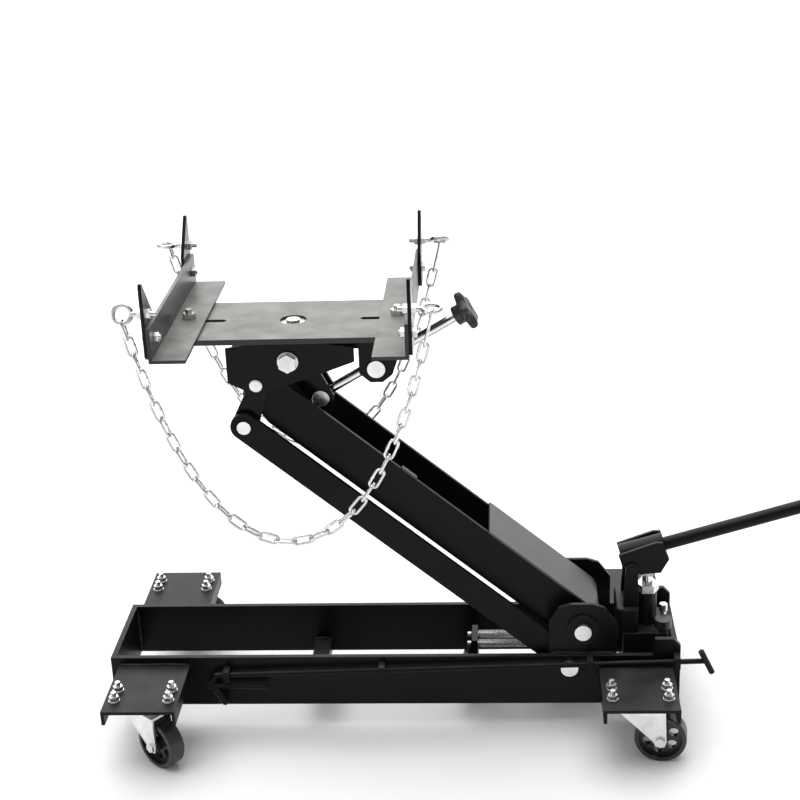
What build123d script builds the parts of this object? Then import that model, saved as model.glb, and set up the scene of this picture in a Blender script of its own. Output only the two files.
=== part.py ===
from build123d import *
from math import asinh, atan2, cos, cosh, degrees, hypot, radians, sin, sinh, sqrt
import os

# Low-profile transmission jack. Millimetres, +Z up, the floor at Z = 0.
# The head is at -X and the pump and handle at +X. The near side is -Y.
# Everything is drawn about the arm pivot (X = 0 there) and moved by pivot_x at export, so that the
# origin is on the floor at the middle of the footprint. All joints are at rest: the arm stands at
# arm_angle above level.

# ---- driving dimensions ----
pivot_x = 75.4                 # arm pivot from the origin

frame_front = -713.0
frame_rear = 144.0
frame_half_width = 82.5        # to the outer face of a side rail
rail_thickness = 8.0
rail_bottom = 34.0
rail_top = 116.0
end_plate = 8.0
cross_bar_z = (36.0, 56.0)     # under the lower links when the arm is right down
shaft_radius = 12.5            # arm pivot shaft
link_pin_radius = 10.0
head_pin_radius = 8.0
bore_gap = 0.1                 # radial clearance of a running fit

pivot_z = 157.0
arm_angle = 40.1
arm_length = 605.0
arm_half_width = 49.0
arm_plate = 6.0
arm_below = 38.0
arm_above = 25.0
link_dx = -20.0                # link pivot from the arm pivot, and the same at the head
link_dz = -60.0
link_width = 40.0
link_inner = 59.5
link_plate = 8.0

cheek_inner = 51.0
cheek_plate = 6.0

saddle_centre = -411.0
saddle_top = 625.0
saddle_half_length = 170.0
saddle_half_width = 82.0
saddle_plate_t = 8.0
tilt_z = 582.0
slot_inner = 97.0
slot_outer = 162.0
slot_width = 10.5

angle_leg = 50.0
angle_t = 5.0
angle_half_length = 173.0
angle_outer = 175.0            # from the saddle centre to the outer face of an upright flange

finger_t = 5.0
finger_pivot_y = 146.0
finger_pivot_z = 654.0
finger_tip_z = 736.0
eye_y = 160.0
eye_z = 692.0
ring_radius = 12.5
ring_wire = 3.2

chain_wire = 2.1
link_inner_length = 25.0
link_inner_width = 7.6
chain_pitch = 24.55
chain_links = 34
hang_slope = 77.3              # a chain's slope where it leaves an eye

screw_radius = 7.0
ear_pin = (-292.5, 558.5)
lower_pin = (-376.0, 510.0)

crank_radius = 65.0
crank_lead = 7.1               # degrees that the crank stands ahead of straight down
ram_z = 98.0
ram_radius = 11.0
guide_y = 14.0                 # guide rods and return springs, each side of the middle
guide_radius = 3.5
guide_length = 85.0
spring_bar_x = (-177.0, -157.0)
crosshead_x = -42.0            # front face of the ram's crosshead

handle_slope = 16.6
handle_length = 520.0
handle_radius = 10.0
handle_wall = 2.0
socket_pin = (75.0, 228.0)
fulcrum_radius = 5.0
plunger_x = 101.0
plunger_radius = 8.0
plunger_pin_z = 225.0
pump_radius = 14.5
pump_seat = 123.0              # bottom of the pump cylinder, clear of the main cylinder's bore

wheel_radius = 37.5
wheel_half_width = 13.0
kingpin_y = 168.0
kingpin_inset = 66.5           # kingpin from the frame's end
caster_trail = 31.0
channel_half_length = 54.5
channel_outer = 212.0
channel_top = 104.0
channel_plate = 5.0
channel_flange = 17.0
caster_bolt_dx = 40.0
caster_bolt_dy = 14.0
caster_plate_t = 3.0
caster_bolt_radius = 4.0

release_radius = 4.0

os.makedirs("parts", exist_ok=True)


# ---- helpers ----
def save(name, *solids):
    """Write one node, moved from the arm pivot to the part's origin."""
    pieces = []
    for shape in solids:
        pieces += shape.solids()
    moved = [piece.moved(Location((pivot_x, 0, 0))) for piece in pieces]
    whole = moved[0] if len(moved) == 1 else Compound(children=moved)
    export_step(whole, f"parts/{name}.step")


def block(x, y, z):
    """A box from three (low, high) pairs."""
    box = Box(x[1] - x[0], y[1] - y[0], z[1] - z[0])
    return Pos((x[0] + x[1]) / 2, (y[0] + y[1]) / 2, (z[0] + z[1]) / 2) * box


def plate_y(outline, low, high):
    """A plate with an (x, z) outline, between two Y values."""
    wire = Polyline(*[(x, low, z) for x, z in outline], close=True)
    return extrude(make_face(wire), amount=high - low, dir=(0, 1, 0))


def plate_x(outline, low, high):
    """A plate with a (y, z) outline, between two X values."""
    wire = Polyline(*[(low, y, z) for y, z in outline], close=True)
    return extrude(make_face(wire), amount=high - low, dir=(1, 0, 0))


def rod(start, end, radius):
    """A round rod between two points."""
    a = Vector(*start)
    b = Vector(*end)
    return extrude(Plane(origin=a, z_dir=b - a) * Circle(radius), amount=(b - a).length)


def rod_y(at, radius, low, high):
    return rod((at[0], low, at[1]), (at[0], high, at[1]), radius)


def bar_y(start, end, half_width, low, high):
    """A flat bar with round ends, between two Y values."""
    a = Vector(start[0], 0, start[1])
    b = Vector(end[0], 0, end[1])
    side = (b - a).normalized().cross(Vector(0, 1, 0)) * half_width
    corners = [a + side, b + side, b - side, a - side]
    flat = plate_y([(c.X, c.Z) for c in corners], low, high)
    return flat + rod_y(start, half_width, low, high) + rod_y(end, half_width, low, high)


def hexagon(at, direction, across_flats, height):
    """A hexagon head or nut that starts at a point and grows along a direction."""
    plane = Plane(origin=at, z_dir=direction)
    return extrude(plane * RegularPolygon(across_flats / 2, 6, major_radius=False), amount=height)


def both_sides(shape):
    """A shape at -Y and its mirror image at +Y."""
    return [shape, mirror(shape, Plane.XZ)]


def arm_point(along, across):
    """A point in the arm's own frame: along it from the pivot to the head, and across it upwards."""
    a = radians(arm_angle)
    return (-along * cos(a) + across * sin(a), pivot_z + along * sin(a) + across * cos(a))


head_pin = arm_point(arm_length, 0)
link_pin = (link_dx, pivot_z + link_dz)
link_head_pin = (head_pin[0] + link_dx, head_pin[1] + link_dz)
tilt_pin = (saddle_centre - 4.0, tilt_z)
rail_inner = frame_half_width - rail_thickness


# ---- frame ----
def frame_parts():
    rail = block((frame_front, frame_rear), (-frame_half_width, -rail_inner), (rail_bottom, rail_top))
    rail += plate_y([(frame_rear - 40, rail_top), (frame_rear, rail_top), (frame_rear, 132),
                     (frame_rear - 10, 143), (frame_rear - 38, 143)], -frame_half_width, -rail_inner)
    rail -= rod_y(link_pin, link_pin_radius, -frame_half_width, -rail_inner)
    save("side_rails", *both_sides(rail))
    width = (-rail_inner, rail_inner)
    front = block((frame_front, frame_front + end_plate), width, (rail_bottom, rail_top))
    rear = block((frame_rear - end_plate, frame_rear), width, (rail_bottom, rail_top))
    middle = block((-419, -393), width, cross_bar_z)
    spring_bar = block(spring_bar_x, width, cross_bar_z)
    low, high = spring_bar_x
    gusset = [(low - 11, cross_bar_z[0]), (high, cross_bar_z[0]), (high, ram_z + 10), (high - 9, ram_z + 10)]
    spring_bar += plate_y(gusset, -guide_y - 10, guide_y + 10)
    for y in (-guide_y, guide_y):
        spring_bar -= rod((low - 11, y, ram_z), (high, y, ram_z), guide_radius)
    save("cross_members", front, middle, spring_bar, rear)


def pivot_brackets():
    top = 198.0
    outline = [(-50, 60), (50, 60), (50, 168), (32, 192), (14, top), (-18, top), (-36, 192), (-50, 170)]
    bracket = plate_y(outline, -rail_inner, -rail_inner + 6)
    bracket -= rod_y((0, pivot_z), shaft_radius, -rail_inner, -rail_inner + 6)
    bracket -= rod_y(link_pin, link_pin_radius, -rail_inner, -rail_inner + 6)
    collar = rod_y((0, pivot_z), 23, -rail_inner - 6, -rail_inner)
    bracket += collar - rod_y((0, pivot_z), shaft_radius, -rail_inner - 6, -rail_inner)
    save("pivot_brackets", *both_sides(bracket))
    shaft = rod_y((0, pivot_z), shaft_radius, -88, 88)
    link_stub = rod_y(link_pin, link_pin_radius, -88, -link_inner + 1)
    link_stub += rod_y(link_pin, link_pin_radius + 3, -89, -frame_half_width)
    save("pivot_pins", shaft, *both_sides(link_stub))


# ---- casters ----
def bolt_holes(x, side):
    """The four drills for one caster's bolts."""
    holes = []
    for dx in (-caster_bolt_dx, caster_bolt_dx):
        for dy in (-caster_bolt_dy, caster_bolt_dy):
            px = x + dx
            py = side * kingpin_y + dy
            holes.append(rod((px, py, 90), (px, py, 110), caster_bolt_radius))
    return holes


def caster_channel(x, side):
    low, high = sorted((side * frame_half_width, side * channel_outer))
    plate = block((x - channel_half_length, x + channel_half_length), (low, high),
                  (channel_top - channel_plate, channel_top))
    under = channel_top - channel_plate - channel_flange
    for edge in (x - channel_half_length, x + channel_half_length - channel_plate):
        plate += block((edge, edge + channel_plate), (low, high), (under, channel_top))
    return plate - bolt_holes(x, side)


def caster_plate(x, side):
    y = side * kingpin_y
    top = channel_top - channel_plate
    plate = block((x - 48, x + 48), (y - 30, y + 30), (top - caster_plate_t, top))
    plate -= bolt_holes(x, side)
    plate += rod((x, y, top - caster_plate_t - 4), (x, y, top - caster_plate_t), 24)
    return plate


def caster_bolts(x, side):
    bolts = []
    under = channel_top - channel_plate - caster_plate_t
    for dx in (-caster_bolt_dx, caster_bolt_dx):
        for dy in (-caster_bolt_dy, caster_bolt_dy):
            px = x + dx
            py = side * kingpin_y + dy
            bolt = rod((px, py, under), (px, py, channel_top + 15), 3.95)
            bolt += hexagon((px, py, under), (0, 0, -1), 13, 5)
            bolt += rod((px, py, channel_top), (px, py, channel_top + 1.6), 8.5)
            bolt += hexagon((px, py, channel_top + 1.6), (0, 0, 1), 13, 6.5)
            bolts.append(bolt)
    return bolts


def caster_fork():
    """A fork with its axle, about the kingpin, trailing to +X."""
    crown_top = channel_top - channel_plate - caster_plate_t - 4.3
    crown = rod((0, 0, crown_top - 9), (0, 0, crown_top), 26)
    crown += block((-33, 38), (-19, 19), (crown_top - 9, crown_top - 5))
    leg_outline = [(-33, crown_top - 5), (38, crown_top - 5), (caster_trail + 9, wheel_radius),
                   (caster_trail + 6, wheel_radius - 9), (caster_trail - 6, wheel_radius - 9),
                   (caster_trail - 11, wheel_radius)]
    for low, high in ((-19, -16), (16, 19)):
        crown += plate_y(leg_outline, low, high)
    axle = rod_y((caster_trail, wheel_radius), 3.95, -23, 23)
    axle += hexagon((caster_trail, 19, wheel_radius), (0, 1, 0), 13, 4.5)
    axle += hexagon((caster_trail, -19, wheel_radius), (0, -1, 0), 13, 4.5)
    crown -= rod_y((caster_trail, wheel_radius), 3.95, -20, 20)
    return [crown, axle]


def caster_wheel():
    """A pressed wheel with a hub and six lightening holes, about the kingpin."""
    centre = (caster_trail, wheel_radius)
    tread = rod_y(centre, wheel_radius, -wheel_half_width, wheel_half_width)
    tread = fillet(tread.edges().filter_by(GeomType.CIRCLE), 2.5)
    for low, high in ((-wheel_half_width, -4.5), (4.5, wheel_half_width)):
        tread -= rod_y(centre, 31, low, high)
        tread += rod_y(centre, 10, low, high)
    for k in range(6):
        a = radians(60 * k + 24)
        tread -= rod_y((centre[0] + 20.5 * cos(a), centre[1] + 20.5 * sin(a)), 7.2, -20, 20)
    return tread - rod_y(centre, 4.0, -20, 20)


# each corner: name, end of the frame, side, swivel of the fork about the kingpin
corners = [
    ("front_near", -1, -1, -38.0),
    ("front_far", -1, 1, 38.0),
    ("rear_near", 1, -1, -8.0),
    ("rear_far", 1, 1, 15.0),
]


def casters():
    channels = []
    plates = []
    bolts = []
    fork = caster_fork()
    wheel = caster_wheel()
    for name, end, side, swivel in corners:
        x = frame_front + kingpin_inset if end < 0 else frame_rear - kingpin_inset
        channels.append(caster_channel(x, side))
        plates.append(caster_plate(x, side))
        bolts += caster_bolts(x, side)
        place = Location((x, side * kingpin_y, 0), (0, 0, swivel))
        save(f"caster_fork_{name}", *[piece.moved(place) for piece in fork])
        save(f"caster_wheel_{name}", wheel.moved(place))
    save("caster_channels", *channels)
    save("caster_top_plates", *plates)
    save("caster_bolts", *bolts)


# ---- lift arm ----
def lift_arm():
    outline = [arm_point(0, arm_above), arm_point(arm_length - 10, arm_above),
               arm_point(arm_length + 22, 10), arm_point(arm_length + 22, -12),
               arm_point(arm_length, -arm_above), arm_point(arm_length - 50, -arm_below),
               arm_point(0, -arm_below), arm_point(-16, -30), arm_point(-22, -12)]
    side = plate_y(outline, -arm_half_width, -arm_half_width + arm_plate)
    side += rod_y((0, pivot_z), arm_above, -arm_half_width, -arm_half_width + arm_plate)
    side -= rod_y((0, pivot_z), 20, -arm_half_width, -arm_half_width + arm_plate)
    side -= rod_y(head_pin, 14, -arm_half_width, -arm_half_width + arm_plate)
    save("arm_side_plates", *both_sides(side))
    inner = arm_half_width - arm_plate
    floor = [arm_point(225, -arm_below), arm_point(480, -arm_below),
             arm_point(480, -arm_below + 5), arm_point(225, -arm_below + 5)]
    save("arm_floor", plate_y(floor, -inner, inner))
    edge = arm_half_width + 2
    flat = [arm_point(200, arm_above), arm_point(200, arm_above + 3), arm_point(0, arm_above + 3),
            arm_point(0, arm_above)]
    wrap = rod_y((0, pivot_z), arm_above + 3, -edge, edge) - rod_y((0, pivot_z), arm_above, -edge, edge)
    wedge = [arm_point(0, 0), arm_point(0, 60), arm_point(-60, 60), arm_point(-60, 10)]
    cover = plate_y(flat, -edge, edge) + (wrap & plate_y(wedge, -edge, edge))
    save("arm_cover", cover)
    hub = rod_y((0, pivot_z), 20, -rail_inner + 6.5, rail_inner - 6.5)
    hub -= rod_y((0, pivot_z), shaft_radius + bore_gap, -80, 80)
    front_tube = rod_y(head_pin, 14, -arm_half_width - 1, arm_half_width + 1)
    front_tube -= rod_y(head_pin, head_pin_radius + bore_gap, -60, 60)
    save("arm_cross_tubes", hub, front_tube)
    b = radians(crank_lead)
    crank_pin = (-crank_radius * sin(b), pivot_z - crank_radius * cos(b))
    crank = bar_y((0, pivot_z), crank_pin, 12.5, -28, -20)
    crank += rod_y((0, pivot_z), 24, -28, -20)
    crank -= rod_y((0, pivot_z), 20, -28, -20)
    crank -= rod_y(crank_pin, 8, -28, -20)
    save("arm_crank", *both_sides(crank), rod_y(crank_pin, 8, -28.5, 28.5))


def lower_links():
    bar = bar_y(link_pin, link_head_pin, link_width / 2, -link_inner - link_plate, -link_inner)
    for hole in (link_pin, link_head_pin):
        bar -= rod_y(hole, link_pin_radius + bore_gap, -link_inner - link_plate, -link_inner)
    save("lower_links", *both_sides(bar))


# ---- head ----
def head_parts():
    hx, hz = head_pin
    cx, cz = link_head_pin
    low = -cheek_inner - cheek_plate
    high = -cheek_inner
    outline = [(-503, 602), (-448, 610), (-380, 610), (-321, 602), (-321, 580), (-373, 561),
               (-429, 543), (-446, 538), (cx + 22, cz + 6), (cx + 12, cz - 14), (cx - 4, cz - 18),
               (cx - 17, cz - 6), (cx - 16, cz + 10), (-478, 538), (-503, 551)]
    cheek = plate_y(outline, low, high)
    cheek -= rod_y(head_pin, head_pin_radius, low, high)
    cheek -= rod_y(tilt_pin, 8, low, high)
    cheek -= rod_y(link_head_pin, link_pin_radius, low, high)
    save("head_cheeks", *both_sides(cheek))
    web = block((-500, -452), (-cheek_inner, cheek_inner), (586, 592))
    lug_outline = [(-470, 590), (-470, 578), (-440, 566), (-398, 515), (-392, 499), (-376, 491),
                   (-360, 499), (-357, 514), (-366, 532), (-396, 590), (-410, 599), (-430, 599),
                   (-445, 590)]
    lug = plate_y(lug_outline, -18, -12)
    lug -= rod_y(tilt_pin, 8, -18, -12)
    lug -= rod_y(lower_pin, 8.1, -18, -12)
    near_lug, far_lug = both_sides(lug)
    save("screw_bracket", web + near_lug + far_lug)
    pin = rod_y(head_pin, head_pin_radius, -61, 61)
    stub = rod_y(link_head_pin, link_pin_radius, -link_inner - link_plate - 4, -cheek_inner)
    save("head_pins", pin, *both_sides(stub))
    bolt = rod_y(tilt_pin, 7.95, -66, 66)
    for side in (-1, 1):
        y = side * (cheek_inner + cheek_plate)
        bolt += rod_y(tilt_pin, 15, *sorted((y, y + side * 2.5)))
        bolt += hexagon((tilt_pin[0], y + side * 2.5, tilt_pin[1]), (0, side, 0), 24, 9)
    save("tilt_bolt", bolt)


# ---- saddle ----
def saddle_parts():
    plate = block((saddle_centre - saddle_half_length, saddle_centre + saddle_half_length),
                  (-saddle_half_width, saddle_half_width), (saddle_top - saddle_plate_t, saddle_top))
    for end in (-1, 1):
        mid = saddle_centre + end * (slot_inner + slot_outer) / 2
        slot = SlotOverall(slot_outer - slot_inner, slot_width)
        plate -= Pos(mid, 0, saddle_top - saddle_plate_t) * extrude(slot, amount=saddle_plate_t)
    hole = (saddle_centre, 0, saddle_top - saddle_plate_t)
    plate -= rod(hole, (saddle_centre, 0, saddle_top), 19)
    save("saddle_plate", plate)
    disc = rod((saddle_centre, 0, saddle_top - saddle_plate_t), (saddle_centre, 0, saddle_top - 3), 19)
    disc += rod((saddle_centre, 0, saddle_top - 3), (saddle_centre, 0, saddle_top + 1), 10)
    save("saddle_centre_bolt", disc)
    under = saddle_top - saddle_plate_t
    ex, ez = ear_pin
    tx, tz = tilt_pin
    outline = [(tx - 16, under), (tx - 16, tz), (tx - 11, tz - 12), (tx, tz - 16), (tx + 12, tz - 12),
               (tx + 24, 590), (ex - 24.5, 590), (ex - 24.5, ez - 7), (ex - 9, ez - 20.5),
               (ex + 9, ez - 20.5), (ex + 23, ez - 9), (ex + 32, ez + 16), (ex + 32, under)]
    ear = plate_y(outline, -30, -24)
    ear -= rod_y(tilt_pin, 8.05, -30, -24)
    ear -= rod_y(ear_pin, 13, -30, -24)
    save("saddle_ears", *both_sides(ear))


def tilt_screw():
    ex, ez = ear_pin
    lx, lz = lower_pin
    span = hypot(ex - lx, ez - lz)
    ux = (ex - lx) / span
    uz = (ez - lz) / span

    def on_screw(s):
        return (ex + ux * s, 0, ez + uz * s)

    trunnion = rod_y(ear_pin, 12.9, -33, 33)
    trunnion -= rod(on_screw(-20), on_screw(20), screw_radius + bore_gap)
    save("ear_trunnion", trunnion)
    nut = rod_y(lower_pin, 14, -11.7, 11.7) + rod_y(lower_pin, 8, -22, 22)
    nut -= rod(on_screw(-span - 20), on_screw(-span + 20), screw_radius + 1.6)
    save("lower_trunnion", nut)
    shaft = rod(on_screw(-span - 22), on_screw(142), screw_radius)
    collars = rod(on_screw(13.5), on_screw(19), 11.5) + rod(on_screw(-19), on_screw(-13.5), 11.5)
    save("tilt_screw", shaft + collars)
    knob_plane = Plane(origin=on_screw(132), x_dir=(0, 1, 0), z_dir=(ux, 0, uz))
    body = extrude(knob_plane * Circle(15), amount=12)
    body += extrude(knob_plane.offset(12) * Circle(21), amount=14)
    for k in range(5):
        a = radians(72 * k + 18)
        body += extrude(knob_plane.offset(12) * Pos(23 * cos(a), 23 * sin(a)) * Circle(8.5), amount=14)
    body -= rod(on_screw(131), on_screw(142), screw_radius)
    save("star_knob", body)


# ---- angle irons, fingers and eye bolts ----
def angle_irons():
    """Each angle iron has its clamp bolt through a saddle slot."""
    clamp = angle_outer - angle_leg / 2
    for name, end in (("front", -1), ("rear", 1)):
        outer = saddle_centre + end * angle_outer
        inner = outer - end * angle_leg
        web = outer - end * angle_t
        iron = block(sorted((outer, inner)), (-angle_half_length, angle_half_length),
                     (saddle_top, saddle_top + angle_t))
        iron += block(sorted((outer, web)), (-angle_half_length, angle_half_length),
                      (saddle_top, saddle_top + angle_leg))
        x = saddle_centre + end * clamp
        iron -= rod((x, 0, saddle_top), (x, 0, saddle_top + angle_t), 5)
        for side in (-1, 1):
            hole = (side * finger_pivot_y, finger_pivot_z)
            iron -= rod((outer - 8, *hole), (outer + 8, *hole), 4.1)
        save(f"{name}_angle_iron", iron)
        top = saddle_top + angle_t
        bolt = rod((x, 0, saddle_top - saddle_plate_t - 12), (x, 0, top + 14), 4.95)
        bolt += hexagon((x, 0, top), (0, 0, 1), 17, 8)
        low = saddle_top - saddle_plate_t
        bolt += rod((x, 0, low - 3), (x, 0, low - 0.4), 12)
        bolt += hexagon((x, 0, low - 3), (0, 0, -1), 17, 7)
        save(f"{name}_clamp_bolt", bolt)


# each finger: name, end of the saddle, side, roll of the eye's ring about the bolt
fingers = [
    ("front_near", -1, -1, 65.0),
    ("front_far", -1, 1, 6.0),
    ("rear_near", 1, -1, 6.0),
    ("rear_far", 1, 1, 30.0),
]


def eye_centre(end, side):
    return (saddle_centre + end * (angle_outer + finger_t + 27), side * eye_y, eye_z)


def finger_parts():
    for name, end, side, roll in fingers:
        outer = saddle_centre + end * angle_outer
        face = outer + end * finger_t
        outline = [(side * 172, 634), (side * 172, finger_tip_z - 8), (side * 170, finger_tip_z),
                   (side * 166, finger_tip_z), (side * 121, 684), (side * 121, 640),
                   (side * 128, 630), (side * 168, 630)]
        finger = plate_x(outline, *sorted((outer, face)))
        finger -= rod((outer - 9, side * finger_pivot_y, finger_pivot_z),
                      (outer + 9, side * finger_pivot_y, finger_pivot_z), 4)
        finger -= rod((outer - 9, side * eye_y, eye_z), (outer + 9, side * eye_y, eye_z), 4)
        out = (end, 0, 0)
        back = (-end, 0, 0)
        hole = (side * finger_pivot_y, finger_pivot_z)
        pivot_bolt = rod((outer - end * 14, *hole), (face + end * 1, *hole), 3.95)
        pivot_bolt += hexagon((face, *hole), out, 13, 5.3)
        pivot_bolt += hexagon((outer - end * (angle_t + 0.3), *hole), back, 13, 6.5)
        ring_at = eye_centre(end, side)
        eye = rod((outer - end * 14, side * eye_y, eye_z),
                  (ring_at[0] - end * ring_radius, side * eye_y, eye_z), 3.95)
        eye += hexagon((outer, side * eye_y, eye_z), back, 13, 6.5)
        eye += hexagon((face, side * eye_y, eye_z), out, 13, 6.5)
        tilt = radians(roll)
        ring_plane = Plane(origin=ring_at, x_dir=(1, 0, 0), z_dir=(0, side * sin(tilt), cos(tilt)))
        eye += ring_plane * Torus(ring_radius, ring_wire)
        save(f"finger_{name}", finger, pivot_bolt, eye)


# ---- chains ----
def chain_link():
    """One welded link, long along X and flat in the XY plane."""
    bend = link_inner_width / 2 + chain_wire
    half = link_inner_length / 2 + chain_wire - bend
    link = rod((-half, bend, 0), (half, bend, 0), chain_wire)
    link += rod((-half, -bend, 0), (half, -bend, 0), chain_wire)
    for end in (-1, 1):
        section = Plane(origin=(end * half, bend, 0), z_dir=(end, 0, 0)) * Circle(chain_wire)
        axis = Axis((end * half, 0, 0), (0, 0, -end))
        link += revolve(section, axis, 180)
    return link


def hang_point(end, side, roll):
    """The middle of the link that hangs on an eye's ring."""
    x, y, z = eye_centre(end, side)
    tilt = radians(roll)
    drop = link_inner_length / 2 - ring_wire - 0.4
    slope = radians(hang_slope)
    return (x - end * drop * cos(slope), y + side * ring_radius * cos(tilt),
            z - ring_radius * sin(tilt) - drop * sin(slope))


def catenary(start, end, count, pitch):
    """Evenly spaced points on a chain that hangs between two points, with its tangents."""
    length = (count - 1) * pitch
    dx = end[0] - start[0]
    dz = end[2] - start[2]
    target = sqrt(length ** 2 - dz ** 2)
    low = dx / 20
    high = dx * 5
    for _ in range(80):
        c = (low + high) / 2
        if 2 * c * sinh(dx / (2 * c)) > target:
            low = c
        else:
            high = c
    middle = c * asinh(dz / (2 * c * sinh(dx / (2 * c))))
    x0 = (start[0] + end[0]) / 2 - middle
    z0 = start[2] - c * cosh((start[0] - x0) / c)
    s0 = c * sinh((start[0] - x0) / c)
    points = []
    for k in range(count):
        x = x0 + c * asinh((s0 + k * pitch) / c)
        y = start[1] + (end[1] - start[1]) * k / (count - 1)
        points.append((Vector(x, y, z0 + c * cosh((x - x0) / c)), degrees(atan2(s0 + k * pitch, c))))
    return points


def chains():
    """Each chain is two halves: one hangs from the front angle iron and one from the rear."""
    link = chain_link()
    rolls = {(end, side): roll for name, end, side, roll in fingers}
    for name, side in (("near", -1), ("far", 1)):
        start = hang_point(-1, side, rolls[(-1, side)])
        end = hang_point(1, side, rolls[(1, side)])
        halves = {"front": [], "rear": []}
        for k, (at, slope) in enumerate(catenary(start, end, chain_links, chain_pitch)):
            flat = 0 if k % 2 == 0 else 90
            if k == chain_links - 1:
                flat = 0
            place = Location(at) * Rotation(0, -slope, 0) * Rotation(flat, 0, 0)
            half = "front" if k < chain_links / 2 else "rear"
            halves[half].append(place * link)
        for half, links in halves.items():
            save(f"{name}_chain_{half}_half", *links)


# ---- hydraulics ----
def hydraulics():
    cylinder = rod((53, 0, ram_z), (134, 0, ram_z), 22)
    cylinder -= rod((53, 0, ram_z), (132, 0, ram_z), ram_radius + bore_gap)
    save("main_cylinder", cylinder)
    body = block((62, 131), (-40, 40), (60, 128))
    body = fillet(body.edges().filter_by(Axis.Z), 4)
    body -= rod((60, 0, ram_z), (134, 0, ram_z), 22)
    body -= rod((plunger_x, 0, pump_seat), (plunger_x, 0, 130), pump_radius)
    save("pump_block", body)
    tank = block((53, 86), (-38, 38), (128, 168))
    tank = fillet(tank.edges().filter_by(Axis.Z), 8)
    tank = chamfer(tank.faces().sort_by(Axis.Z)[-1].edges(), 2)
    save("oil_reservoir", tank)
    sliding = plunger_radius + bore_gap
    barrel = rod((plunger_x, 0, pump_seat), (plunger_x, 0, 182), pump_radius)
    barrel -= rod((plunger_x, 0, pump_seat + 3), (plunger_x, 0, 182), sliding)
    save("pump_cylinder", barrel)
    gland = hexagon((plunger_x, 0, 182), (0, 0, 1), 30, 12)
    gland -= rod((plunger_x, 0, 182), (plunger_x, 0, 194), sliding)
    save("gland_nut", gland)
    plug = rod((126, 0, 128), (126, 0, 145), 4.5) + hexagon((126, 0, 145), (0, 0, 1), 11, 12)
    save("overload_valve_plug", plug)
    cap = rod((123, -27, 128), (123, -27, 134), 6) + rod((123, -27, 134), (123, -27, 147), 13)
    save("oil_filler_cap", cap)
    ram = rod((0, 0, ram_z), (85, 0, ram_z), ram_radius)
    yoke = block((crosshead_x, 6), (-18, 18), (74, 110))
    yoke += block((crosshead_x, crosshead_x + 12), (-24, 24), (86, 110))
    ram += yoke
    b = radians(crank_lead)
    pin_x = -crank_radius * sin(b)
    ram -= block((pin_x - 10.2, pin_x + 10.2), (-18, 18), (82, 111))
    low = spring_bar_x[0] + 4
    rods = []
    springs = []
    for y in (-guide_y, guide_y):
        rods.append(rod((low, y, ram_z), (low + guide_length, y, ram_z), guide_radius))
        front = (spring_bar_x[1] + 0.3, y, ram_z)
        back = (crosshead_x - 0.3, y, ram_z)
        springs.append(rod(front, back, guide_radius + 3) - rod(front, back, guide_radius + 1))
    save("ram", ram)
    save("guide_rods", *rods)
    save("return_springs", *springs)


# ---- pump lever ----
def pump_lever():
    sx, sz = socket_pin
    post = plate_y([(sx - 12, 168), (sx + 11, 168), (sx + 9, sz + 6), (sx + 4, sz + 10),
                    (sx - 4, sz + 10), (sx - 9, sz + 6)], -28, -22.5)
    post -= rod_y(socket_pin, fulcrum_radius, -28, -22.5)
    save("fulcrum_posts", *both_sides(post), rod_y(socket_pin, fulcrum_radius, -31, 31))
    t = radians(handle_slope)
    ux, uz = cos(t), sin(t)

    def on_handle(s, up=0.0):
        return (sx - 14 + ux * s - uz * up, sz + 12 + uz * s + ux * up)

    mouth = 66.0
    outline = [on_handle(-2, -6), on_handle(-2, 12), on_handle(mouth - 10, 16), on_handle(mouth, 13),
               on_handle(mouth + 2, -16), on_handle(mouth - 16, -34), on_handle(20, -28)]
    cheek = plate_y(outline, -22, -17)
    cheek -= rod_y(socket_pin, fulcrum_radius + bore_gap, -23, -16)
    a = on_handle(0)
    b = on_handle(mouth + 1)
    tube = rod((a[0], 0, a[1]), (b[0], 0, b[1]), 17.5)
    tube -= rod((a[0], 0, a[1]), (b[0], 0, b[1]), handle_radius + bore_gap)
    tube -= plate_y([on_handle(-5, -9.8), on_handle(mouth + 5, -9.8), on_handle(mouth + 5, -19),
                     on_handle(-5, -19)], -17, 17)
    cheeks = both_sides(cheek)
    save("handle_socket", cheeks[0] + tube + cheeks[1])
    c = on_handle(2)
    d = on_handle(handle_length)
    bar = rod((c[0], 0, c[1]), (d[0], 0, d[1]), handle_radius)
    bore_start = on_handle(60)
    bar -= rod((bore_start[0], 0, bore_start[1]), (d[0], 0, d[1]), handle_radius - handle_wall)
    save("pump_handle", bar)
    head = plunger_pin_z - 17
    plunger = rod((plunger_x, 0, 140), (plunger_x, 0, head), plunger_radius)
    plunger += block((plunger_x - 8, plunger_x + 8), (-8, 8), (head, plunger_pin_z + 7))
    plunger += rod_y((plunger_x, plunger_pin_z), 4, -16.4, 16.4)
    save("pump_plunger", plunger)


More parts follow.
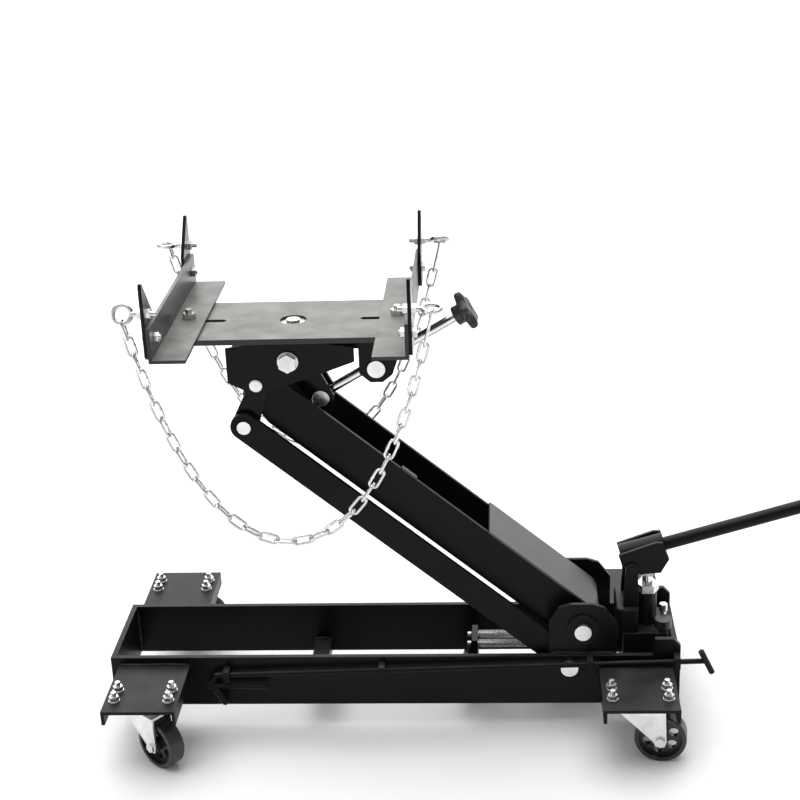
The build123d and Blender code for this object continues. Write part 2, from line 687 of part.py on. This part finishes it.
# ---- release rod ----
def release_rod():
    y = -frame_half_width - 11.5
    rear = (181, y, 113.0)
    front = (-552, y, 92.0)
    main = rod(rear, front, release_radius)
    knee = (-563, y, 74)
    main += rod(front, knee, release_radius)
    for bend in (front, knee):
        main += Pos(*bend) * Sphere(release_radius)
    foot = (-478, y, 72)
    main += rod(knee, foot, release_radius) + Pos(*foot) * Sphere(release_radius)
    tip = (-541, y, 46)
    main += rod((-556, y, 73.8), tip, 5.5) + Pos(*tip) * Sphere(5.5)
    main += rod((172, y - 5, 132), (190, y + 5, 91), 4.5)
    save("release_rod", main)
    guides = []
    slope = (rear[2] - front[2]) / (rear[0] - front[0])
    for x in (-535, -300, 10, 138):
        z = front[2] + slope * (x - front[0])
        lug = block((x - 4.5, x + 4.5), (y - 8, -frame_half_width), (z - 9, z + 9))
        lug -= rod((x - 6, y, z - 6 * slope), (x + 6, y, z + 6 * slope), release_radius + bore_gap)
        guides.append(lug)
    save("release_rod_guides", *guides)


frame_parts()
pivot_brackets()
casters()
lift_arm()
lower_links()
head_parts()
saddle_parts()
tilt_screw()
angle_irons()
finger_parts()
chains()
hydraulics()
pump_lever()
release_rod()
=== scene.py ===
import math
import random

import bpy
import bmesh
from mathutils import Matrix, Vector


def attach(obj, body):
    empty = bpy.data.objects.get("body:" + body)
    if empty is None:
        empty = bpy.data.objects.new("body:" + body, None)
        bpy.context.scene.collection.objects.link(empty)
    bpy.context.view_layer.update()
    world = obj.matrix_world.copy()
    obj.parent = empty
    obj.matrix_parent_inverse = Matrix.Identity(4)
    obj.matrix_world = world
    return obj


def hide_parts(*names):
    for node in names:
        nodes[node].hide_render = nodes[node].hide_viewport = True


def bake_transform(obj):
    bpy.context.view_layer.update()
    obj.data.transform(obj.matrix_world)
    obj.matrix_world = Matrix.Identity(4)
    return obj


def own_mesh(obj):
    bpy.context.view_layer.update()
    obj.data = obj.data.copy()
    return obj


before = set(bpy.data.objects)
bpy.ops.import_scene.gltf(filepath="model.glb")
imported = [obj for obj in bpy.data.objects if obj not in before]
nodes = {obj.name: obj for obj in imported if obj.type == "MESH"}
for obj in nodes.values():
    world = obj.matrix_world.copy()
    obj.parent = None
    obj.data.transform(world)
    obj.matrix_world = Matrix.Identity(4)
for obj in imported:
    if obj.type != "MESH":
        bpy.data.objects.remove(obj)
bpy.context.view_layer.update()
scene = bpy.context.scene
random.seed(7)

# Places are in millimetres, X from the arm pivot and Z from the floor, as in the CAD part.
PIVOT_X, PIVOT_Z = 75.4, 157.0     # the arm pivot from the origin
ARM_ANGLE = math.radians(40.1)
HEAD_PIN, HEAD_PIN_RADIUS = (-462.8, 546.7), 8.0
EAR_PIN, LOWER_PIN = (-292.5, 558.5), (-376.0, 510.0)
FRAME_FRONT, FRAME_REAR, KINGPIN_INSET = -713.0, 144.0, 66.5
RAM_Z, GUIDE_Y = 98.0, 14.0
CAMERA_PLACE = (-111.3, -2161.8, 1373.4)
LENS_PER_WIDTH = 1603.5 / 800      # focal length over the frame's width


def at(x, y, z):
    """A point in millimetres, X from the arm pivot, as metres in the row frame."""
    return Vector(((x + PIVOT_X) / 1000, y / 1000, z / 1000))


# ---- camera ----
def make_camera():
    """A long lens from the front, turned and rolled."""
    yaw, pitch, roll = math.radians(-4.0), math.radians(22.0), math.radians(-2.4)
    forward = Vector((math.sin(yaw) * math.cos(pitch), math.cos(yaw) * math.cos(pitch), -math.sin(pitch)))
    right = Vector((math.cos(yaw), -math.sin(yaw), 0))
    up = right.cross(forward)
    across = right * math.cos(roll) + up * math.sin(roll)
    upright = up * math.cos(roll) - right * math.sin(roll)
    data = bpy.data.cameras.new("camera")
    data.sensor_width = 36
    data.lens = LENS_PER_WIDTH * data.sensor_width
    data.clip_start, data.clip_end = 0.05, 60
    camera = bpy.data.objects.new("camera", data)
    scene.collection.objects.link(camera)
    turn = Matrix((across, upright, -forward)).transposed()
    camera.matrix_world = Matrix.Translation(at(*CAMERA_PLACE)) @ turn.to_4x4()
    scene.camera = camera


make_camera()


# ---- materials ----
class Nodes:
    """A material with short calls to add and join nodes."""

    def __init__(self, name):
        self.material = bpy.data.materials.new(name)
        self.material.use_nodes = True
        self.tree = self.material.node_tree
        self.shader = self.tree.nodes["Principled BSDF"]
        self.coordinates = self.add("TexCoord").outputs["Object"]

    def add(self, kind, **values):
        node = self.tree.nodes.new("ShaderNode" + kind)
        for key, value in values.items():
            setattr(node, key, value)
        return node

    def join(self, source, target):
        self.tree.links.new(source, target)

    def noise(self, scale, detail=3.0, stretch=None):
        node = self.add("TexNoise")
        node.inputs["Scale"].default_value = scale
        node.inputs["Detail"].default_value = detail
        source = self.coordinates
        if stretch:
            mapping = self.add("Mapping")
            mapping.inputs["Scale"].default_value = stretch
            self.join(source, mapping.inputs["Vector"])
            source = mapping.outputs["Vector"]
        self.join(source, node.inputs["Vector"])
        return node.outputs["Fac"]

    def span(self, source, low, high, from_low=0.3, from_high=0.7):
        node = self.add("MapRange")
        for socket, value in zip(("From Min", "From Max", "To Min", "To Max"),
                                 (from_low, from_high, low, high)):
            node.inputs[socket].default_value = value
        self.join(source, node.inputs["Value"])
        return node.outputs["Result"]

    def math(self, operation, a, b):
        node = self.add("Math", operation=operation)
        for socket, value in zip(node.inputs, (a, b)):
            if isinstance(value, (int, float)):
                socket.default_value = value
            else:
                self.join(value, socket)
        return node.outputs[0]

    def blend(self, factor, a, b):
        node = self.add("Mix", data_type="RGBA")
        for socket, value in ((node.inputs[0], factor), (node.inputs[6], a), (node.inputs[7], b)):
            if isinstance(value, (int, float)):
                socket.default_value = value
            elif isinstance(value, tuple):
                socket.default_value = (*value, 1)
            else:
                self.join(value, socket)
        return node.outputs[2]

    def edges(self, radius):
        """A rounded normal, and a mask that is 1 along sharp edges."""
        bevel = self.add("Bevel", samples=4)
        bevel.inputs["Radius"].default_value = radius
        geometry = self.add("NewGeometry")
        dot = self.add("VectorMath", operation="DOT_PRODUCT")
        self.join(bevel.outputs["Normal"], dot.inputs[0])
        self.join(geometry.outputs["True Normal"], dot.inputs[1])
        return bevel.outputs["Normal"], self.span(dot.outputs["Value"], 1.0, 0.0, 0.80, 0.995)

    def bump(self, height, strength, distance, normal=None):
        node = self.add("Bump")
        node.inputs["Strength"].default_value = strength
        node.inputs["Distance"].default_value = distance
        self.join(height, node.inputs["Height"])
        if normal:
            self.join(normal, node.inputs["Normal"])
        return node.outputs["Normal"]

    def upward(self):
        """1 on faces that look up, 0 on walls and undersides."""
        geometry = self.add("NewGeometry")
        split = self.add("SeparateXYZ")
        self.join(geometry.outputs["Normal"], split.inputs[0])
        return self.span(split.outputs["Z"], 0.0, 1.0, 0.55, 0.98)


def paint(name, base, dust_and_sheen, rough=(0.22, 0.36), specular=0.5, dust_and_sheen_level=0.25, wear=0.5):
    """Gloss paint over steel: orange peel, uneven gloss, a film on top that is partly dust and partly a
    painted sheen for light on the tops, and thin edges.
    """
    m = Nodes(name)
    normal, edge = m.edges(0.0011)
    patches = m.noise(9, 4)
    speckle = m.noise(420, 2)
    # Top faces are blended towards a lighter colour: partly real dust, partly a painted sheen standing in
    # for light reflected off the tops.
    top_dust_and_sheen = m.math("MULTIPLY", m.upward(), m.span(m.noise(26, 6), 0.35 * dust_and_sheen_level, dust_and_sheen_level))
    shade = m.blend(m.span(patches, 0.0, 1.0), base, tuple(c * 1.7 for c in base))
    shade = m.blend(top_dust_and_sheen, shade, dust_and_sheen)
    chip = m.math("MULTIPLY", edge, m.span(m.noise(70, 5), 0.0, wear, 0.46, 0.62))
    shade = m.blend(chip, shade, (0.11, 0.108, 0.105))
    m.join(shade, m.shader.inputs["Base Color"])
    gloss = m.math("ADD", m.span(patches, *rough), m.span(speckle, 0.0, 0.05))
    gloss = m.math("ADD", gloss, m.math("MULTIPLY", top_dust_and_sheen, 0.25))
    m.join(gloss, m.shader.inputs["Roughness"])
    peel = m.bump(m.noise(340, 2), 0.10, 0.0004, normal)
    m.join(m.bump(m.noise(38, 3), 0.06, 0.002, peel), m.shader.inputs["Normal"])
    m.shader.inputs["Specular IOR Level"].default_value = specular
    return m.material


def plated(name, base, tint, rough=(0.18, 0.34), grain=(1, 1, 1), fine=260.0, radius=0.0006):
    """Plated or ground steel with cloudy patches and a fine grain along one direction."""
    m = Nodes(name)
    normal, edge = m.edges(radius)
    cloud = m.noise(55, 5)
    lines = m.noise(fine, 3, grain)
    shade = m.blend(m.span(cloud, 0.0, 1.0), base, tint)
    # Edges are blended towards near white: a painted edge highlight.
    shade = m.blend(m.math("MULTIPLY", edge, 0.35), shade, (0.93, 0.93, 0.92))
    m.join(shade, m.shader.inputs["Base Color"])
    m.join(m.math("ADD", m.span(cloud, *rough), m.span(lines, -0.03, 0.06)), m.shader.inputs["Roughness"])
    m.join(m.bump(lines, 0.12, 0.0002, normal), m.shader.inputs["Normal"])
    m.shader.inputs["Metallic"].default_value = 1.0
    return m.material


def plastic(name, base, rough=(0.38, 0.55), pebble=0.25, radius=0.0012):
    """Moulded plastic with a fine pebble and slight sink marks."""
    m = Nodes(name)
    normal, edge = m.edges(radius)
    shade = m.blend(m.span(m.noise(30, 4), 0.0, 1.0), base, tuple(c * 1.5 + 0.002 for c in base))
    # Edges are blended lighter: a painted edge highlight.
    shade = m.blend(m.math("MULTIPLY", edge, 0.3), shade, tuple(c * 2 + 0.02 for c in base))
    m.join(shade, m.shader.inputs["Base Color"])
    m.join(m.span(m.noise(90, 3), *rough), m.shader.inputs["Roughness"])
    grain = m.bump(m.noise(1400, 2), pebble, 0.0002, normal)
    m.join(m.bump(m.noise(22, 2), 0.05, 0.002, grain), m.shader.inputs["Normal"])
    return m.material


BLACK = (0.0035, 0.0035, 0.004)
# Colour blended onto the top faces of the black paints: some dust, and a painted sheen for light on the
# tops.
DUST_AND_SHEEN = (0.13, 0.13, 0.125)
frame_paint = paint("black_frame_paint", BLACK, DUST_AND_SHEEN, rough=(0.24, 0.36), specular=0.12, dust_and_sheen_level=0.24)
arm_paint = paint("black_arm_paint", BLACK, DUST_AND_SHEEN, rough=(0.26, 0.40), specular=0.11, dust_and_sheen_level=0.12)
# The saddle's top faces are blended strongly to pale grey: mostly a painted reflection of the studio light
# off the glossy black top, with a little dust.
saddle_paint = paint("black_saddle_paint", (0.010, 0.010, 0.010), (0.33, 0.325, 0.305), rough=(0.28, 0.36),
                     specular=0.42, dust_and_sheen_level=0.85)
# The arm cover's black paint is given a lighter grey base and light grey tops: a painted sheen for the
# light falling on the cover, with some dust on the tops.
cover_paint = paint("black_cover_paint", (0.045, 0.045, 0.044), (0.17, 0.17, 0.166), rough=(0.32, 0.44),
                    specular=0.4, dust_and_sheen_level=0.9)
head_paint = paint("black_head_paint", BLACK, DUST_AND_SHEEN, rough=(0.14, 0.26), specular=0.12, dust_and_sheen_level=0.18)
pump_paint = paint("black_pump_paint", (0.006, 0.006, 0.0065), DUST_AND_SHEEN, rough=(0.30, 0.48), specular=0.16)
weld_paint = paint("black_weld_paint", (0.007, 0.007, 0.0075), DUST_AND_SHEEN, rough=(0.18, 0.30), specular=0.2,
                   wear=0.8)
zinc = plated("zinc_plate", (0.74, 0.74, 0.72), (0.60, 0.61, 0.60))
zinc_fork = plated("zinc_pressed_plate", (0.80, 0.80, 0.78), (0.66, 0.67, 0.67), rough=(0.24, 0.40))
pin_steel = plated("pin_steel", (0.80, 0.80, 0.78), (0.68, 0.68, 0.67), grain=(1, 0.05, 1), fine=700)
chain_zinc = plated("chain_zinc", (0.84, 0.84, 0.82), (0.66, 0.67, 0.67), rough=(0.16, 0.32))
chrome = plated("ground_chrome", (0.78, 0.78, 0.78), (0.70, 0.70, 0.71), rough=(0.07, 0.16),
                grain=(0.4, 1, 0.4), fine=900)
spring_steel = plated("spring_steel", (0.70, 0.70, 0.70), (0.52, 0.52, 0.53), rough=(0.2, 0.36))
knob_plastic = plastic("knob_plastic", (0.013, 0.013, 0.014))
cap_plastic = plastic("cap_plastic", (0.010, 0.010, 0.010), rough=(0.28, 0.42))
wheel_plastic = plastic("wheel_plastic", (0.012, 0.012, 0.013), rough=(0.26, 0.42), pebble=0.12)


def finish_node(name, material):
    """One material all over a CAD node."""
    node = nodes[name]
    node.data.materials.clear()
    node.data.materials.append(material)


painted = {
    frame_paint: ("side_rails", "cross_members", "pivot_brackets", "caster_channels", "release_rod_guides",
                  "release_rod", "handle_socket", "pump_handle", "fulcrum_posts"),
    arm_paint: ("arm_side_plates", "arm_floor", "arm_crank", "lower_links", "arm_cross_tubes"),
    cover_paint: ("arm_cover",),
    head_paint: ("head_cheeks", "screw_bracket", "saddle_ears"),
    saddle_paint: ("saddle_plate", "front_angle_iron", "rear_angle_iron"),
    pump_paint: ("main_cylinder", "pump_block", "oil_reservoir", "pump_cylinder"),
    pin_steel: ("pivot_pins", "head_pins", "ear_trunnion", "lower_trunnion"),
    zinc: ("tilt_bolt", "caster_bolts", "saddle_centre_bolt", "front_clamp_bolt", "rear_clamp_bolt",
           "gland_nut", "overload_valve_plug"),
    chrome: ("tilt_screw", "pump_plunger", "ram", "guide_rods"),
    zinc_fork: ("caster_top_plates",),
    cap_plastic: ("oil_filler_cap",),
}
for material, names in painted.items():
    for name in names:
        finish_node(name, material)
CORNERS = ("front_near", "front_far", "rear_near", "rear_far")
for corner in CORNERS:
    finish_node("caster_fork_" + corner, zinc_fork)
    finish_node("caster_wheel_" + corner, wheel_plastic)


# ---- mesh helpers ----
def new_piece(name, verts, faces, material, body, slot, smooth=True):
    """A mesh from vertices in metres, riding a body and with a material slot."""
    mesh = bpy.data.meshes.new(name)
    mesh.from_pydata([tuple(v) for v in verts], [], faces)
    mesh.validate()
    mesh.materials.append(material)
    if smooth:
        mesh.shade_smooth()
    piece = bpy.data.objects.new(name, mesh)
    scene.collection.objects.link(piece)
    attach(piece, body)
    return piece


def sweep(points, radii, sides=10, closed=False):
    """Vertices and faces of a round tube along points, with rings that do not twist."""
    verts, faces = [], []
    count = len(points)
    side = None
    for k, point in enumerate(points):
        before = points[k - 1] if (k or closed) else points[k]
        after = points[(k + 1) % count] if (k < count - 1 or closed) else points[k]
        along = (after - before).normalized()
        if side is None:
            side = along.orthogonal().normalized()
        side = (side - along * side.dot(along)).normalized()
        other = along.cross(side)
        for j in range(sides):
            a = 2 * math.pi * j / sides
            verts.append(point + (side * math.cos(a) + other * math.sin(a)) * radii[k])
    rings = count if closed else count - 1
    for k in range(rings):
        for j in range(sides):
            a, b = k * sides + j, k * sides + (j + 1) % sides
            c, d = ((k + 1) % count) * sides + (j + 1) % sides, ((k + 1) % count) * sides + j
            faces.append((a, b, c, d))
    if not closed:
        faces.append(tuple(range(sides - 1, -1, -1)))
        faces.append(tuple((count - 1) * sides + j for j in range(sides)))
    return verts, faces


def join_parts(parts):
    """Several (vertices, faces) pairs as one."""
    verts, faces = [], []
    for v, f in parts:
        start = len(verts)
        verts += v
        faces += [tuple(i + start for i in face) for face in f]
    return verts, faces


# ---- weld beads ----
def bead(start, end, radius=2.3):
    """One rippled weld bead between two points in millimetres."""
    a, b = at(*start), at(*end)
    steps = max(8, int((b - a).length / 0.0011))
    points, radii = [], []
    drift = random.uniform(0, 6)
    for k in range(steps + 1):
        t = k / steps
        wander = Vector((0, 0, 0.00025 * math.sin(9 * t + drift)))
        points.append(a.lerp(b, t) + wander)
        ends = min(1.0, 0.45 + min(t, 1 - t) * steps * 0.12)
        ripple = 1 + 0.10 * math.sin(k * 2.1) + 0.05 * random.uniform(-1, 1)
        radii.append(radius / 1000 * ends * ripple)
    return sweep(points, radii, 8)


def welds():
    """Beads on the frame, under the saddle's ears and on the head's web."""
    rail_inside, rail_outside = 74, 83
    rail_bottom, rail_top = 38, 112
    channel_half_length, channel_top = 53, 104.3
    beads = []
    for x in (FRAME_FRONT + KINGPIN_INSET, FRAME_REAR - KINGPIN_INSET):
        for side in (-1, 1):
            y = side * rail_outside
            beads.append(bead((x - channel_half_length, y, channel_top),
                              (x + channel_half_length, y, channel_top)))
    for side in (-1, 1):
        y = side * rail_inside
        for x in (FRAME_FRONT + 8, FRAME_REAR - 8):
            beads.append(bead((x, y, rail_bottom), (x, y, rail_top), 2.8))
        beads.append(bead((-48, side * 75, 116.6), (48, side * 75, 116.6), 2.0))
        for low, high in ((-419, -393), (-177, -157)):
            beads.append(bead((low, y, 56.5), (high, y, 56.5)))
    new_piece("frame_welds", *join_parts(beads), weld_paint, "frame", "black_paint")
    beads = []
    for side in (-1, 1):
        for x, end in ((-425, -322), (-318, -262)):
            beads.append(bead((x, side * 30.6, 616.4), (end, side * 30.6, 616.4)))
    new_piece("saddle_welds", *join_parts(beads), weld_paint, "saddle", "black_paint")
    beads = [bead((-498, side * 50.4, 592.4), (-454, side * 50.4, 592.4), 1.8) for side in (-1, 1)]
    new_piece("head_welds", *join_parts(beads), weld_paint, "head", "black_paint")


welds()

# ---- chains ----
PITCH, LINKS = 24.55, 34
WIRE, INNER_LENGTH, INNER_WIDTH = 2.1, 25.0, 7.6
SADDLE_X, EYE_OUT, EYE_Y, EYE_Z = -411.0, 207.0, 160.0, 692.0
HANG_SLOPE = math.radians(77.3)    # of a chain where it leaves an eye
RING, RING_WIRE = 12.5, 3.2
ROLLS = {(-1, -1): 65.0, (-1, 1): 6.0, (1, -1): 6.0, (1, 1): 30.0}


def hang_point(end, side):
    """The middle of the link that hangs on an eye's ring, as in the CAD part."""
    tilt = math.radians(ROLLS[(end, side)])
    drop = INNER_LENGTH / 2 - RING_WIRE - 0.4
    x = SADDLE_X + end * EYE_OUT
    return (x - end * drop * math.cos(HANG_SLOPE), side * (EYE_Y + RING * math.cos(tilt)),
            EYE_Z - RING * math.sin(tilt) - drop * math.sin(HANG_SLOPE))


def catenary(start, end):
    """The middle and slope of each link of a chain that hangs between two points."""
    length = (LINKS - 1) * PITCH
    dx, dz = end[0] - start[0], end[2] - start[2]
    target = math.sqrt(length ** 2 - dz ** 2)
    low, high = dx / 20, dx * 5
    for _ in range(80):
        c = (low + high) / 2
        if 2 * c * math.sinh(dx / (2 * c)) > target:
            low = c
        else:
            high = c
    middle = c * math.asinh(dz / (2 * c * math.sinh(dx / (2 * c))))
    x0 = (start[0] + end[0]) / 2 - middle
    z0 = start[2] - c * math.cosh((start[0] - x0) / c)
    s0 = c * math.sinh((start[0] - x0) / c)
    spots = []
    for k in range(LINKS):
        x = x0 + c * math.asinh((s0 + k * PITCH) / c)
        y = start[1] + (end[1] - start[1]) * k / (LINKS - 1)
        spots.append(((x, y, z0 + c * math.cosh((x - x0) / c)), math.atan2(s0 + k * PITCH, c)))
    return spots


def link_loop():
    """The wire's centre line and radius round one welded link, long along X and flat in XY."""
    bend = INNER_WIDTH / 2 + WIRE
    half = INNER_LENGTH / 2 + WIRE - bend
    line = []
    for k in range(5):
        line.append((Vector((-half + 2 * half * k / 4, -bend, 0)), WIRE))
    for k in range(1, 8):
        a = -math.pi / 2 + math.pi * k / 8
        line.append((Vector((half + bend * math.cos(a), bend * math.sin(a), 0)), WIRE))
    for k in range(9):
        x = half - 2 * half * k / 8
        swell = 1 + 0.22 * math.exp(-(x / 1.6) ** 2)
        line.append((Vector((x, bend, 0)), WIRE * swell))
    for k in range(1, 8):
        a = math.pi / 2 + math.pi * k / 8
        line.append((Vector((-half + bend * math.cos(a), bend * math.sin(a), 0)), WIRE))
    return line


def chains():
    """Four half chains of separate links, which take the place of the CAD halves."""
    loop = link_loop()
    for name, side in (("near", -1), ("far", 1)):
        halves = {"front": [], "rear": []}
        for k, (place, slope) in enumerate(catenary(hang_point(-1, side), hang_point(1, side))):
            roll = 0 if k % 2 == 0 or k == LINKS - 1 else 90
            ends = min(k, LINKS - 1 - k)
            swing = random.uniform(-9, 9) if ends > 1 else 0
            turn = Matrix.Rotation(-slope, 3, "Y") @ Matrix.Rotation(math.radians(roll + swing), 3, "X")
            centre = at(*place)
            points = [centre + turn @ p / 1000 for p, _ in loop]
            part = sweep(points, [r / 1000 for _, r in loop], 10, closed=True)
            halves["front" if k < LINKS / 2 else "rear"].append(part)
        for half, parts in halves.items():
            piece = new_piece(f"{name}_chain_{half}_links", *join_parts(parts), chain_zinc,
                              half + "_angle", "zinc_plate")
            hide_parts(f"{name}_chain_{half}_half")
            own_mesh(piece)


chains()


# ---- return springs ----
def springs():
    """Two coil springs from the frame's spring bar to the ram's crosshead."""
    start, end, turns = -156.6, -42.4, 34
    coil, wire, rest = 5.4, 1.0, 1.0
    parts = []
    for side in (-1, 1):
        points = []
        steps = turns * 18
        for k in range(steps + 1):
            t = k / steps
            closed_end = min(1.0, min(t, 1 - t) * turns / 1.5)
            a = 2 * math.pi * turns * t
            x = start + rest + (end - start - 2 * rest) * t
            reach = coil - 0.1 * (1 - closed_end)
            points.append(at(x, side * GUIDE_Y + reach * math.cos(a), RAM_Z + reach * math.sin(a)))
        parts.append(sweep(points, [wire / 1000] * len(points), 8))
    mesh = bpy.data.meshes.new("return_spring_coils")
    verts, faces = join_parts(parts)
    mesh.from_pydata([tuple(v) for v in verts], [], faces)
    mesh.materials.append(spring_steel)
    mesh.shade_smooth()
    piece = bpy.data.objects.new("return_spring_coils", mesh)
    scene.collection.objects.link(piece)
    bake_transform(piece)
    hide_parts("return_springs")


springs()


# ---- star knob ----
def star_knob():
    """A five-lobed moulded knob with a neck, lathed and pushed out into lobes."""
    ear = Vector((EAR_PIN[0], 0, EAR_PIN[1]))
    axis = (ear - Vector((LOWER_PIN[0], 0, LOWER_PIN[1]))).normalized()
    across = Vector((0, 1, 0))
    other = axis.cross(across)
    # (distance along the screw, radius, how far the lobes stand out)
    profile = [(131.8, 7.4, 0), (131.8, 13.2, 0), (132.6, 14.6, 0), (140.5, 14.2, 0), (143.0, 15.5, 0.05),
               (144.2, 18.5, 0.45), (145.4, 21.5, 0.85), (147.4, 23.2, 1.0), (150.5, 23.6, 1.0),
               (153.8, 23.4, 1.0), (156.0, 22.2, 0.9), (157.4, 19.6, 0.62), (157.9, 15.0, 0.2),
               (157.4, 11.0, 0), (156.6, 7.0, 0), (156.4, 3.0, 0)]
    count, lobes, first = 100, 5, math.radians(18)
    verts, faces = [], []
    for s, r, lobe in profile:
        for j in range(count):
            a = 2 * math.pi * j / count
            wave = 0.5 + 0.5 * math.cos(lobes * (a - first))
            out = r + lobe * (9.4 * wave ** 1.5 - 3.2)
            v = ear + axis * s + (across * math.cos(a) + other * math.sin(a)) * out
            verts.append(at(*v))
    for k in range(len(profile) - 1):
        for j in range(count):
            a, b = k * count + j, k * count + (j + 1) % count
            faces.append((a, b, b + count, a + count))
    faces.append(tuple((len(profile) - 1) * count + j for j in range(count)))
    piece = new_piece("star_knob_moulding", verts, faces, knob_plastic, "tilt_screw", "black_plastic")
    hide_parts("star_knob")


star_knob()


# ---- small pieces on the arm and the pins ----
def lathe(profile, centre, axis, count=36):
    """A turned shape from (distance, radius) pairs about an axis through a point in millimetres."""
    axis = Vector(axis).normalized()
    side = axis.orthogonal().normalized()
    other = axis.cross(side)
    verts, faces = [], []
    for s, r in profile:
        for j in range(count):
            a = 2 * math.pi * j / count
            verts.append(at(*(Vector(centre) + axis * s + (side * math.cos(a) + other * math.sin(a)) * r)))
    for k in range(len(profile) - 1):
        for j in range(count):
            a, b = k * count + j, k * count + (j + 1) % count
            faces.append((a, b, b + count, a + count))
    return verts, faces


def snap_rings():
    """A snap ring at each end of the head pin."""
    parts = []
    for side in (-1, 1):
        ring = [(s, HEAD_PIN_RADIUS + rise) for s, rise in ((0, 0), (0, 1.1), (0.4, 1.4), (1.0, 1.4),
                                                            (1.4, 1.1), (1.4, 0))]
        parts.append(lathe(ring, (HEAD_PIN[0], side * 58.6, HEAD_PIN[1]), (0, side, 0)))
    new_piece("head_snap_rings", *join_parts(parts), zinc, "head", "zinc_plate", smooth=False)


def trunnion_washers():
    """A thin washer outside each lug of the screw bracket, on the lower trunnion."""
    parts = []
    for side in (-1, 1):
        ring = [(0, 8.0), (0, 12.2), (0.4, 12.6), (2.2, 12.6), (2.6, 12.2), (2.6, 8.0)]
        parts.append(lathe(ring, (LOWER_PIN[0], side * 18.6, LOWER_PIN[1]), (0, side, 0)))
    new_piece("lower_trunnion_washers", *join_parts(parts), zinc_fork, "lower_trunnion", "zinc_plate",
              smooth=False)


def arm_tab():
    """A thin tab on the arm's near top edge."""
    outline = [(336, 25.2), (363, 25.2), (363, 28.0), (336, 28.0)]
    mesh = bmesh.new()
    rows = []
    for y in (-50.0, -41.0):
        row = []
        for along, across in outline:
            x = -along * math.cos(ARM_ANGLE) + across * math.sin(ARM_ANGLE)
            z = PIVOT_Z + along * math.sin(ARM_ANGLE) + across * math.cos(ARM_ANGLE)
            row.append(mesh.verts.new(at(x, y, z)))
        rows.append(row)
    near, far = rows
    mesh.faces.new(near)
    mesh.faces.new(far)
    for k in range(4):
        mesh.faces.new((near[k], near[(k + 1) % 4], far[(k + 1) % 4], far[k]))
    bmesh.ops.recalc_face_normals(mesh, faces=mesh.faces[:])
    bmesh.ops.bevel(mesh, geom=mesh.edges[:], offset=0.0005, segments=2, affect="EDGES")
    data = bpy.data.meshes.new("arm_edge_tab")
    mesh.to_mesh(data)
    mesh.free()
    data.materials.append(cover_paint)
    tab = bpy.data.objects.new("arm_edge_tab", data)
    scene.collection.objects.link(tab)
    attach(tab, "lift_arm")


snap_rings()
trunnion_washers()
arm_tab()


# ---- fingers: black plate, bright bolts and eye ----
def connected_groups(mesh):
    """The number of the connected piece that each vertex belongs to."""
    links = {v.index: set() for v in mesh.vertices}
    for edge in mesh.edges:
        a, b = edge.vertices
        links[a].add(b)
        links[b].add(a)
    groups = {}
    count = 0
    for start in links:
        if start in groups:
            continue
        groups[start] = count
        stack = [start]
        while stack:
            for other in links[stack.pop()]:
                if other not in groups:
                    groups[other] = count
                    stack.append(other)
        count += 1
    return groups


def finger_finish():
    """The finger's plate is painted and its bolts are plated, told apart by their reach along X."""
    slack = 0.0002
    for corner in CORNERS:
        mesh = nodes["finger_" + corner].data
        end = -1 if corner.startswith("front") else 1
        near, far = sorted(at(SADDLE_X + end * face, 0, 0).x for face in (175, 180))
        mesh.materials.clear()
        mesh.materials.append(zinc)
        mesh.materials.append(head_paint)
        groups = connected_groups(mesh)
        spans = {}
        for index, group in groups.items():
            x = mesh.vertices[index].co.x
            low, high = spans.get(group, (x, x))
            spans[group] = (min(low, x), max(high, x))
        plates = {g for g, (low, high) in spans.items() if low > near - slack and high < far + slack}
        for face in mesh.polygons:
            face.material_index = 1 if groups[face.vertices[0]] in plates else 0


finger_finish()


# ---- floor and light ----
def stage_floor():
    """A plain pale floor."""
    m = Nodes("studio_floor")
    shade = m.blend(m.span(m.noise(1.5, 2), 0.0, 1.0), (0.90, 0.90, 0.90), (0.93, 0.93, 0.93))
    m.join(shade, m.shader.inputs["Base Color"])
    m.shader.inputs["Roughness"].default_value = 0.9
    m.shader.inputs["Specular IOR Level"].default_value = 0.1
    mesh = bpy.data.meshes.new("floor")
    mesh.from_pydata([(-8, -6, 0), (8, -6, 0), (8, 12, 0), (-8, 12, 0)], [], [(0, 1, 2, 3)])
    mesh.materials.append(m.material)
    floor = bpy.data.objects.new("floor", mesh)
    scene.collection.objects.link(floor)


stage_floor()


def softbox(name, place, target, width, height, power):
    """A rectangular area light at a place in metres, aimed at a target."""
    data = bpy.data.lights.new(name, "AREA")
    data.shape = "RECTANGLE"
    data.size, data.size_y = width, height
    data.energy = power
    light = bpy.data.objects.new(name, data)
    scene.collection.objects.link(light)
    light.location = place
    aim = Vector(target) - Vector(place)
    light.rotation_mode = "QUATERNION"
    light.rotation_quaternion = aim.to_track_quat("-Z", "Y")


softbox("back_softbox", (0.2, 2.6, 1.45), (0.0, 0, 0.45), 4.2, 1.9, 46)
softbox("side_softbox", (-2.6, -1.6, 1.5), (-0.2, 0, 0.4), 1.2, 1.2, 9)


def overhead_light():
    """A wide soft light from above that lights the whole floor evenly."""
    data = bpy.data.lights.new("overhead", "SUN")
    data.angle = math.radians(70)
    data.energy = 2.7
    light = bpy.data.objects.new("overhead", data)
    scene.collection.objects.link(light)
    light.rotation_euler = (math.radians(-14), math.radians(-10), 0)


overhead_light()

world = bpy.data.worlds.new("studio")
scene.world = world
world.use_nodes = True
world.node_tree.nodes["Background"].inputs["Color"].default_value = (1, 1, 1, 1)
world.node_tree.nodes["Background"].inputs["Strength"].default_value = 0.42
scene.view_settings.view_transform = "Standard"
